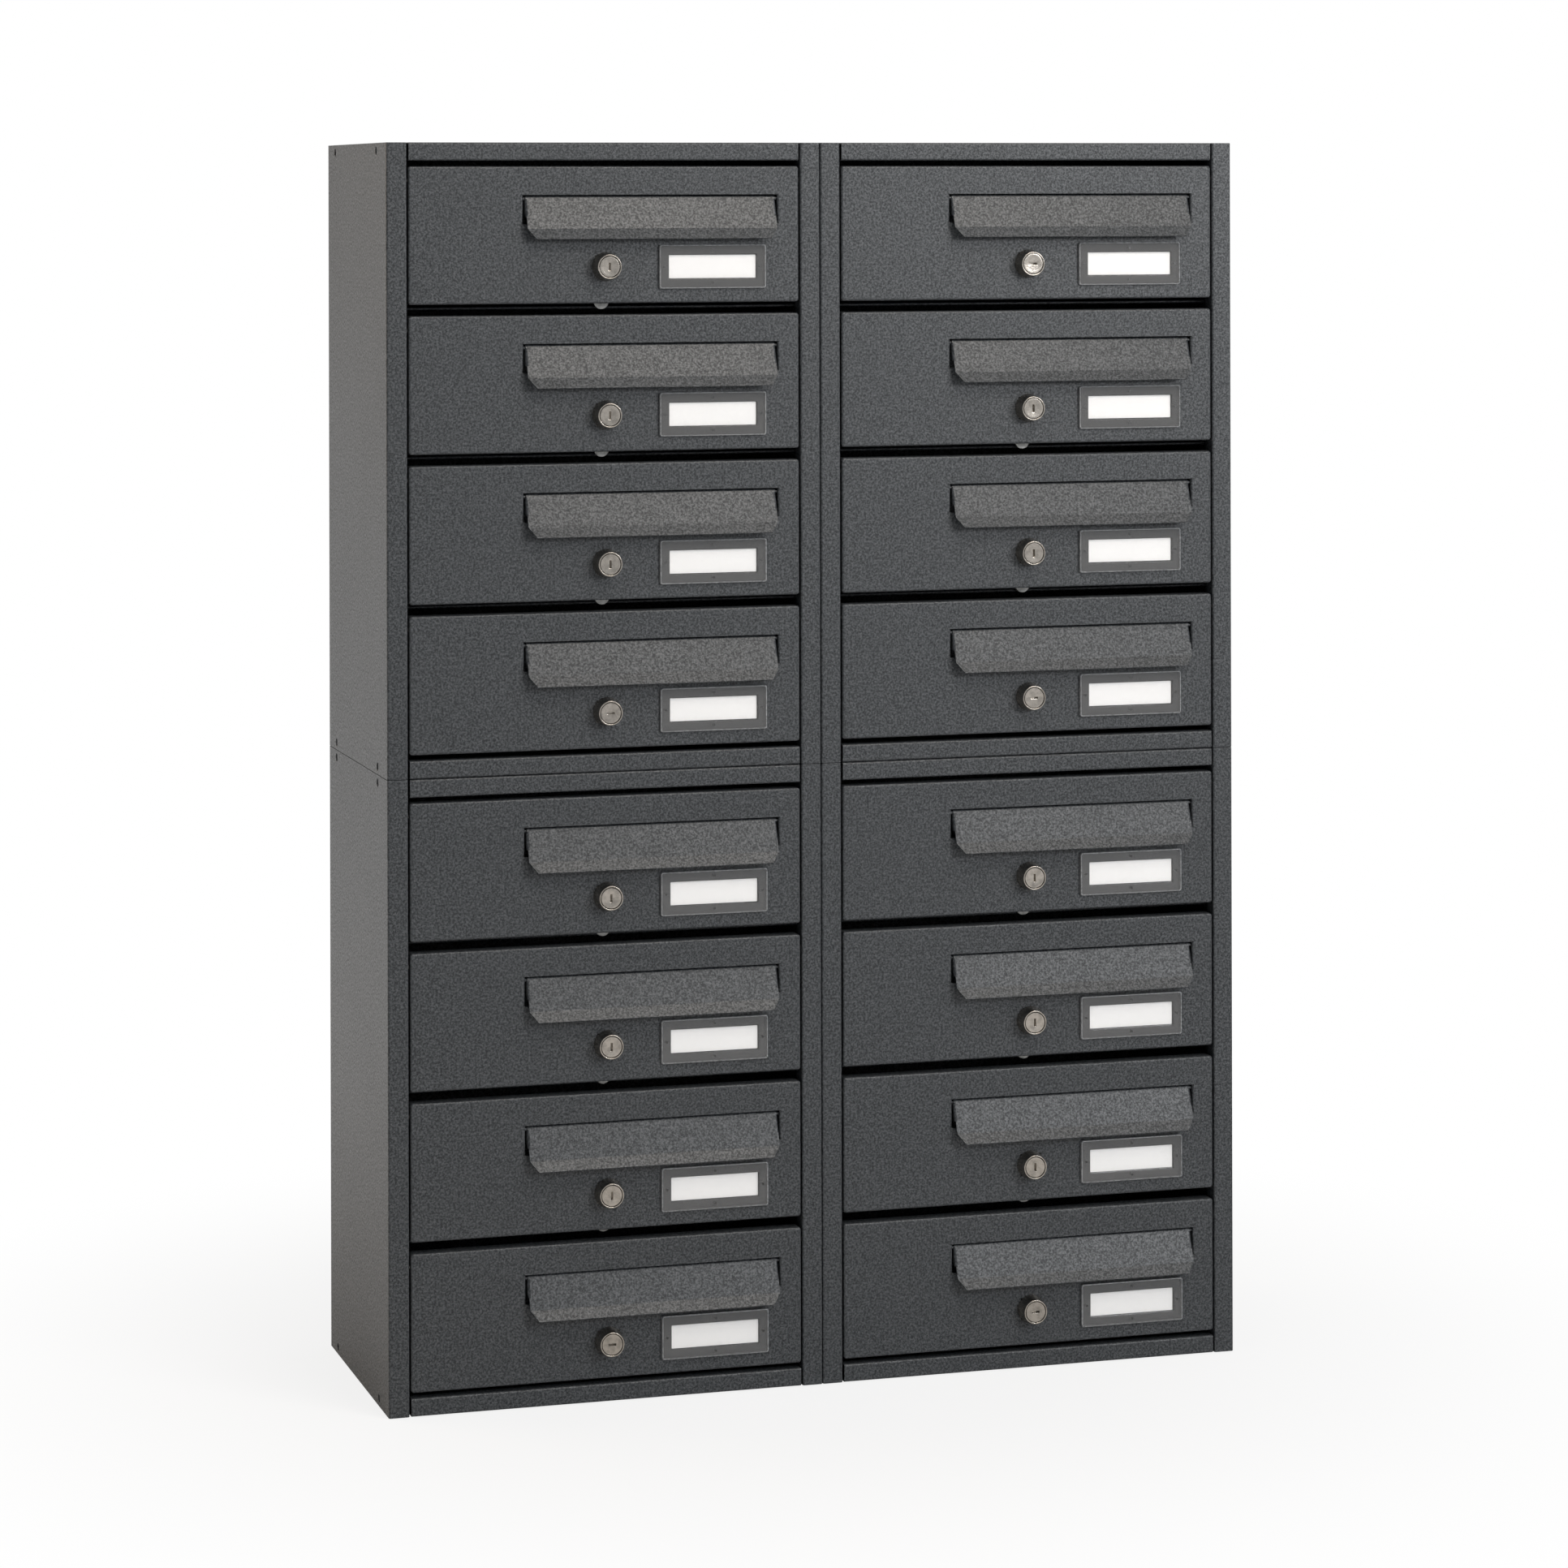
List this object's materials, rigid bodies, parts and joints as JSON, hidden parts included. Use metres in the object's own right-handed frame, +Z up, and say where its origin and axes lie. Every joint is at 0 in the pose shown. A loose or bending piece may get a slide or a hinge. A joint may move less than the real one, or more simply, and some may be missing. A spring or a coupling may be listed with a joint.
{
  "type": "cluster mailbox unit",
  "caption": "Dark steel bank of letter boxes in stacked modules: top-hinged doors, each with a mail-slot flap, a cam lock and a name plate holder.",
  "frame": {"origin": "bottom centre of the unit's box, with the flaps and locks that stand out of its front", "axes": "+Z up, the doors face -Y, +X to the right as seen from the front"},
  "size_m": [0.6402, 0.2264, 0.9003],
  "materials": {
    "powder_coat": "fine-textured anthracite powder coat",
    "nickel": "nickel-plated lock plug and head",
    "clear_cover": "clear moulded name plate cover",
    "card": "blank white name card"
  },
  "bodies": {
    "root": {"casing_upper_left": "powder_coat", "bottom_panel_upper_left": "powder_coat", "top_panel_upper_left": "powder_coat", "casing_lower_left": "powder_coat", "bottom_panel_lower_left": "powder_coat", "top_panel_lower_left": "powder_coat", "casing_upper_right": "powder_coat", "bottom_panel_upper_right": "powder_coat", "top_panel_upper_right": "powder_coat", "casing_lower_right": "powder_coat", "bottom_panel_lower_right": "powder_coat", "top_panel_lower_right": "powder_coat"},
    "door_upper_left_1": {"door_upper_left_1": "powder_coat"},
    "slot_flap_upper_left_1": {"slot_flap_upper_left_1": "powder_coat"},
    "lock_plug_upper_left_1": {"lock_plug_upper_left_1": "nickel"},
    "door_upper_left_2": {"door_upper_left_2": "powder_coat"},
    "slot_flap_upper_left_2": {"slot_flap_upper_left_2": "powder_coat"},
    "lock_plug_upper_left_2": {"lock_plug_upper_left_2": "nickel"},
    "door_upper_left_3": {"door_upper_left_3": "powder_coat"},
    "slot_flap_upper_left_3": {"slot_flap_upper_left_3": "powder_coat"},
    "lock_plug_upper_left_3": {"lock_plug_upper_left_3": "nickel"},
    "door_upper_left_4": {"door_upper_left_4": "powder_coat"},
    "slot_flap_upper_left_4": {"slot_flap_upper_left_4": "powder_coat"},
    "lock_plug_upper_left_4": {"lock_plug_upper_left_4": "nickel"},
    "door_lower_left_1": {"door_lower_left_1": "powder_coat"},
    "slot_flap_lower_left_1": {"slot_flap_lower_left_1": "powder_coat"},
    "lock_plug_lower_left_1": {"lock_plug_lower_left_1": "nickel"},
    "door_lower_left_2": {"door_lower_left_2": "powder_coat"},
    "slot_flap_lower_left_2": {"slot_flap_lower_left_2": "powder_coat"},
    "lock_plug_lower_left_2": {"lock_plug_lower_left_2": "nickel"},
    "door_lower_left_3": {"door_lower_left_3": "powder_coat"},
    "slot_flap_lower_left_3": {"slot_flap_lower_left_3": "powder_coat"},
    "lock_plug_lower_left_3": {"lock_plug_lower_left_3": "nickel"},
    "door_lower_left_4": {"door_lower_left_4": "powder_coat"},
    "slot_flap_lower_left_4": {"slot_flap_lower_left_4": "powder_coat"},
    "lock_plug_lower_left_4": {"lock_plug_lower_left_4": "nickel"},
    "door_upper_right_1": {"door_upper_right_1": "powder_coat"},
    "slot_flap_upper_right_1": {"slot_flap_upper_right_1": "powder_coat"},
    "lock_plug_upper_right_1": {"lock_plug_upper_right_1": "nickel"},
    "door_upper_right_2": {"door_upper_right_2": "powder_coat"},
    "slot_flap_upper_right_2": {"slot_flap_upper_right_2": "powder_coat"},
    "lock_plug_upper_right_2": {"lock_plug_upper_right_2": "nickel"},
    "door_upper_right_3": {"door_upper_right_3": "powder_coat"},
    "slot_flap_upper_right_3": {"slot_flap_upper_right_3": "powder_coat"},
    "lock_plug_upper_right_3": {"lock_plug_upper_right_3": "nickel"},
    "door_upper_right_4": {"door_upper_right_4": "powder_coat"},
    "slot_flap_upper_right_4": {"slot_flap_upper_right_4": "powder_coat"},
    "lock_plug_upper_right_4": {"lock_plug_upper_right_4": "nickel"},
    "door_lower_right_1": {"door_lower_right_1": "powder_coat"},
    "slot_flap_lower_right_1": {"slot_flap_lower_right_1": "powder_coat"},
    "lock_plug_lower_right_1": {"lock_plug_lower_right_1": "nickel"},
    "door_lower_right_2": {"door_lower_right_2": "powder_coat"},
    "slot_flap_lower_right_2": {"slot_flap_lower_right_2": "powder_coat"},
    "lock_plug_lower_right_2": {"lock_plug_lower_right_2": "nickel"},
    "door_lower_right_3": {"door_lower_right_3": "powder_coat"},
    "slot_flap_lower_right_3": {"slot_flap_lower_right_3": "powder_coat"},
    "lock_plug_lower_right_3": {"lock_plug_lower_right_3": "nickel"},
    "door_lower_right_4": {"door_lower_right_4": "powder_coat"},
    "slot_flap_lower_right_4": {"slot_flap_lower_right_4": "powder_coat"},
    "lock_plug_lower_right_4": {"lock_plug_lower_right_4": "nickel"}
  },
  "joints": [
    {"name": "door_upper_left_1_hinge", "type": "hinge", "parent": "root", "child": "door_upper_left_1", "pos_m": [-0.16015, -0.09577, 0.8734], "axis": [-1, 0, 0], "range_deg": [0, 90]},
    {"name": "slot_flap_upper_left_1_hinge", "type": "hinge", "parent": "door_upper_left_1", "child": "slot_flap_upper_left_1", "pos_m": [-0.12665, -0.09837, 0.8602], "axis": [-1, 0, 0], "range_deg": [0, 70]},
    {"name": "lock_plug_upper_left_1_turn", "type": "hinge", "parent": "door_upper_left_1", "child": "lock_plug_upper_left_1", "pos_m": [-0.16015, -0.10177, 0.8116], "axis": [0, -1, 0], "range_deg": [0, 90]},
    {"name": "door_upper_left_2_hinge", "type": "hinge", "parent": "root", "child": "door_upper_left_2", "pos_m": [-0.16015, -0.09577, 0.7673], "axis": [-1, 0, 0], "range_deg": [0, 90]},
    {"name": "slot_flap_upper_left_2_hinge", "type": "hinge", "parent": "door_upper_left_2", "child": "slot_flap_upper_left_2", "pos_m": [-0.12665, -0.09837, 0.7541], "axis": [-1, 0, 0], "range_deg": [0, 70]},
    {"name": "lock_plug_upper_left_2_turn", "type": "hinge", "parent": "door_upper_left_2", "child": "lock_plug_upper_left_2", "pos_m": [-0.16015, -0.10177, 0.7055], "axis": [0, -1, 0], "range_deg": [0, 90]},
    {"name": "door_upper_left_3_hinge", "type": "hinge", "parent": "root", "child": "door_upper_left_3", "pos_m": [-0.16015, -0.09577, 0.6612], "axis": [-1, 0, 0], "range_deg": [0, 90]},
    {"name": "slot_flap_upper_left_3_hinge", "type": "hinge", "parent": "door_upper_left_3", "child": "slot_flap_upper_left_3", "pos_m": [-0.12665, -0.09837, 0.648], "axis": [-1, 0, 0], "range_deg": [0, 70]},
    {"name": "lock_plug_upper_left_3_turn", "type": "hinge", "parent": "door_upper_left_3", "child": "lock_plug_upper_left_3", "pos_m": [-0.16015, -0.10177, 0.5994], "axis": [0, -1, 0], "range_deg": [0, 90]},
    {"name": "door_upper_left_4_hinge", "type": "hinge", "parent": "root", "child": "door_upper_left_4", "pos_m": [-0.16015, -0.09577, 0.5551], "axis": [-1, 0, 0], "range_deg": [0, 90]},
    {"name": "slot_flap_upper_left_4_hinge", "type": "hinge", "parent": "door_upper_left_4", "child": "slot_flap_upper_left_4", "pos_m": [-0.12665, -0.09837, 0.5419], "axis": [-1, 0, 0], "range_deg": [0, 70]},
    {"name": "lock_plug_upper_left_4_turn", "type": "hinge", "parent": "door_upper_left_4", "child": "lock_plug_upper_left_4", "pos_m": [-0.16015, -0.10177, 0.4933], "axis": [0, -1, 0], "range_deg": [-90, 0]},
    {"name": "door_lower_left_1_hinge", "type": "hinge", "parent": "root", "child": "door_lower_left_1", "pos_m": [-0.16015, -0.09577, 0.4231], "axis": [-1, 0, 0], "range_deg": [0, 90]},
    {"name": "slot_flap_lower_left_1_hinge", "type": "hinge", "parent": "door_lower_left_1", "child": "slot_flap_lower_left_1", "pos_m": [-0.12665, -0.09837, 0.4099], "axis": [-1, 0, 0], "range_deg": [0, 70]},
    {"name": "lock_plug_lower_left_1_turn", "type": "hinge", "parent": "door_lower_left_1", "child": "lock_plug_lower_left_1", "pos_m": [-0.16015, -0.10177, 0.3613], "axis": [0, -1, 0], "range_deg": [0, 90]},
    {"name": "door_lower_left_2_hinge", "type": "hinge", "parent": "root", "child": "door_lower_left_2", "pos_m": [-0.16015, -0.09577, 0.317], "axis": [-1, 0, 0], "range_deg": [0, 90]},
    {"name": "slot_flap_lower_left_2_hinge", "type": "hinge", "parent": "door_lower_left_2", "child": "slot_flap_lower_left_2", "pos_m": [-0.12665, -0.09837, 0.3038], "axis": [-1, 0, 0], "range_deg": [0, 70]},
    {"name": "lock_plug_lower_left_2_turn", "type": "hinge", "parent": "door_lower_left_2", "child": "lock_plug_lower_left_2", "pos_m": [-0.16015, -0.10177, 0.2552], "axis": [0, -1, 0], "range_deg": [0, 90]},
    {"name": "door_lower_left_3_hinge", "type": "hinge", "parent": "root", "child": "door_lower_left_3", "pos_m": [-0.16015, -0.09577, 0.2109], "axis": [-1, 0, 0], "range_deg": [0, 90]},
    {"name": "slot_flap_lower_left_3_hinge", "type": "hinge", "parent": "door_lower_left_3", "child": "slot_flap_lower_left_3", "pos_m": [-0.12665, -0.09837, 0.1977], "axis": [-1, 0, 0], "range_deg": [0, 70]},
    {"name": "lock_plug_lower_left_3_turn", "type": "hinge", "parent": "door_lower_left_3", "child": "lock_plug_lower_left_3", "pos_m": [-0.16015, -0.10177, 0.1491], "axis": [0, -1, 0], "range_deg": [0, 90]},
    {"name": "door_lower_left_4_hinge", "type": "hinge", "parent": "root", "child": "door_lower_left_4", "pos_m": [-0.16015, -0.09577, 0.1048], "axis": [-1, 0, 0], "range_deg": [0, 90]},
    {"name": "slot_flap_lower_left_4_hinge", "type": "hinge", "parent": "door_lower_left_4", "child": "slot_flap_lower_left_4", "pos_m": [-0.12665, -0.09837, 0.0916], "axis": [-1, 0, 0], "range_deg": [0, 70]},
    {"name": "lock_plug_lower_left_4_turn", "type": "hinge", "parent": "door_lower_left_4", "child": "lock_plug_lower_left_4", "pos_m": [-0.16015, -0.10177, 0.043], "axis": [0, -1, 0], "range_deg": [-90, 0]},
    {"name": "door_upper_right_1_hinge", "type": "hinge", "parent": "root", "child": "door_upper_right_1", "pos_m": [0.16015, -0.09577, 0.8734], "axis": [-1, 0, 0], "range_deg": [0, 90]},
    {"name": "slot_flap_upper_right_1_hinge", "type": "hinge", "parent": "door_upper_right_1", "child": "slot_flap_upper_right_1", "pos_m": [0.19365, -0.09837, 0.8602], "axis": [-1, 0, 0], "range_deg": [0, 70]},
    {"name": "lock_plug_upper_right_1_turn", "type": "hinge", "parent": "door_upper_right_1", "child": "lock_plug_upper_right_1", "pos_m": [0.16015, -0.10177, 0.8116], "axis": [0, -1, 0], "range_deg": [-90, 0]},
    {"name": "door_upper_right_2_hinge", "type": "hinge", "parent": "root", "child": "door_upper_right_2", "pos_m": [0.16015, -0.09577, 0.7673], "axis": [-1, 0, 0], "range_deg": [0, 90]},
    {"name": "slot_flap_upper_right_2_hinge", "type": "hinge", "parent": "door_upper_right_2", "child": "slot_flap_upper_right_2", "pos_m": [0.19365, -0.09837, 0.7541], "axis": [-1, 0, 0], "range_deg": [0, 70]},
    {"name": "lock_plug_upper_right_2_turn", "type": "hinge", "parent": "door_upper_right_2", "child": "lock_plug_upper_right_2", "pos_m": [0.16015, -0.10177, 0.7055], "axis": [0, -1, 0], "range_deg": [0, 90]},
    {"name": "door_upper_right_3_hinge", "type": "hinge", "parent": "root", "child": "door_upper_right_3", "pos_m": [0.16015, -0.09577, 0.6612], "axis": [-1, 0, 0], "range_deg": [0, 90]},
    {"name": "slot_flap_upper_right_3_hinge", "type": "hinge", "parent": "door_upper_right_3", "child": "slot_flap_upper_right_3", "pos_m": [0.19365, -0.09837, 0.648], "axis": [-1, 0, 0], "range_deg": [0, 70]},
    {"name": "lock_plug_upper_right_3_turn", "type": "hinge", "parent": "door_upper_right_3", "child": "lock_plug_upper_right_3", "pos_m": [0.16015, -0.10177, 0.5994], "axis": [0, -1, 0], "range_deg": [0, 90]},
    {"name": "door_upper_right_4_hinge", "type": "hinge", "parent": "root", "child": "door_upper_right_4", "pos_m": [0.16015, -0.09577, 0.5551], "axis": [-1, 0, 0], "range_deg": [0, 90]},
    {"name": "slot_flap_upper_right_4_hinge", "type": "hinge", "parent": "door_upper_right_4", "child": "slot_flap_upper_right_4", "pos_m": [0.19365, -0.09837, 0.5419], "axis": [-1, 0, 0], "range_deg": [0, 70]},
    {"name": "lock_plug_upper_right_4_turn", "type": "hinge", "parent": "door_upper_right_4", "child": "lock_plug_upper_right_4", "pos_m": [0.16015, -0.10177, 0.4933], "axis": [0, -1, 0], "range_deg": [-90, 0]},
    {"name": "door_lower_right_1_hinge", "type": "hinge", "parent": "root", "child": "door_lower_right_1", "pos_m": [0.16015, -0.09577, 0.4231], "axis": [-1, 0, 0], "range_deg": [0, 90]},
    {"name": "slot_flap_lower_right_1_hinge", "type": "hinge", "parent": "door_lower_right_1", "child": "slot_flap_lower_right_1", "pos_m": [0.19365, -0.09837, 0.4099], "axis": [-1, 0, 0], "range_deg": [0, 70]},
    {"name": "lock_plug_lower_right_1_turn", "type": "hinge", "parent": "door_lower_right_1", "child": "lock_plug_lower_right_1", "pos_m": [0.16015, -0.10177, 0.3613], "axis": [0, -1, 0], "range_deg": [0, 90]},
    {"name": "door_lower_right_2_hinge", "type": "hinge", "parent": "root", "child": "door_lower_right_2", "pos_m": [0.16015, -0.09577, 0.317], "axis": [-1, 0, 0], "range_deg": [0, 90]},
    {"name": "slot_flap_lower_right_2_hinge", "type": "hinge", "parent": "door_lower_right_2", "child": "slot_flap_lower_right_2", "pos_m": [0.19365, -0.09837, 0.3038], "axis": [-1, 0, 0], "range_deg": [0, 70]},
    {"name": "lock_plug_lower_right_2_turn", "type": "hinge", "parent": "door_lower_right_2", "child": "lock_plug_lower_right_2", "pos_m": [0.16015, -0.10177, 0.2552], "axis": [0, -1, 0], "range_deg": [0, 90]},
    {"name": "door_lower_right_3_hinge", "type": "hinge", "parent": "root", "child": "door_lower_right_3", "pos_m": [0.16015, -0.09577, 0.2109], "axis": [-1, 0, 0], "range_deg": [0, 90]},
    {"name": "slot_flap_lower_right_3_hinge", "type": "hinge", "parent": "door_lower_right_3", "child": "slot_flap_lower_right_3", "pos_m": [0.19365, -0.09837, 0.1977], "axis": [-1, 0, 0], "range_deg": [0, 70]},
    {"name": "lock_plug_lower_right_3_turn", "type": "hinge", "parent": "door_lower_right_3", "child": "lock_plug_lower_right_3", "pos_m": [0.16015, -0.10177, 0.1491], "axis": [0, -1, 0], "range_deg": [0, 90]},
    {"name": "door_lower_right_4_hinge", "type": "hinge", "parent": "root", "child": "door_lower_right_4", "pos_m": [0.16015, -0.09577, 0.1048], "axis": [-1, 0, 0], "range_deg": [0, 90]},
    {"name": "slot_flap_lower_right_4_hinge", "type": "hinge", "parent": "door_lower_right_4", "child": "slot_flap_lower_right_4", "pos_m": [0.19365, -0.09837, 0.0916], "axis": [-1, 0, 0], "range_deg": [0, 70]},
    {"name": "lock_plug_lower_right_4_turn", "type": "hinge", "parent": "door_lower_right_4", "child": "lock_plug_lower_right_4", "pos_m": [0.16015, -0.10177, 0.043], "axis": [0, -1, 0], "range_deg": [-90, 0]}
  ]
}
